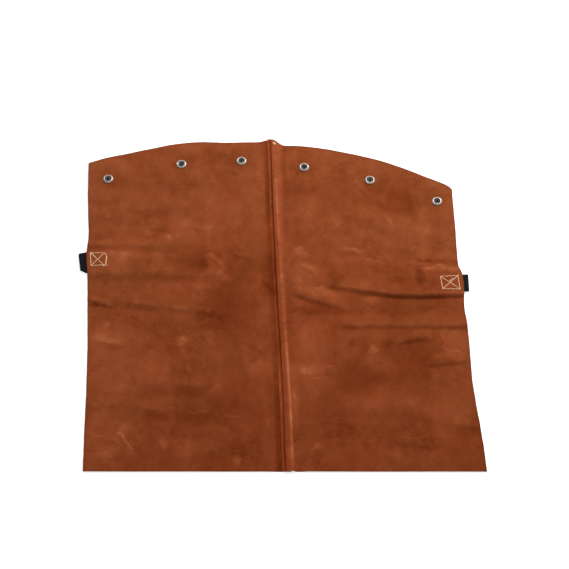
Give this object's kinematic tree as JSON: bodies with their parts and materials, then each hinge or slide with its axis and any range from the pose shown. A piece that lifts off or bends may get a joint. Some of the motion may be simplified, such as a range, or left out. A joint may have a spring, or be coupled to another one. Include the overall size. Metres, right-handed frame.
{
  "type": "leather welding apron",
  "caption": "Split-leather welding apron lying flat: curved top edge with snap sockets, welted centre seam, straight hem, and a webbing waist strap folded under each side edge.",
  "frame": {"origin": "centre of the apron's box in plan, at the height of the surface that it lies on", "axes": "+X across the apron to the right of its outer face, +Y from the hem to the top edge, +Z off its outer face"},
  "size_m": [0.65, 0.6453, 0.007],
  "materials": {
    "brown_split_leather": "rust-brown split leather, short nap, scuffed",
    "welt_leather": "cut edge of brown split leather",
    "plated_snap": "nickel-plated steel, rolled ring",
    "black_webbing": "black ribbed webbing",
    "pale_thread": "undyed heavy sewing thread"
  },
  "bodies": {
    "root": {"panel_left": "brown_split_leather", "panel_right": "brown_split_leather", "seam_welt": "welt_leather", "snap_1": "plated_snap", "snap_2": "plated_snap", "snap_3": "plated_snap", "snap_4": "plated_snap", "snap_5": "plated_snap", "snap_6": "plated_snap", "webbing_left": "black_webbing", "webbing_right": "black_webbing"}
  },
  "joints": []
}
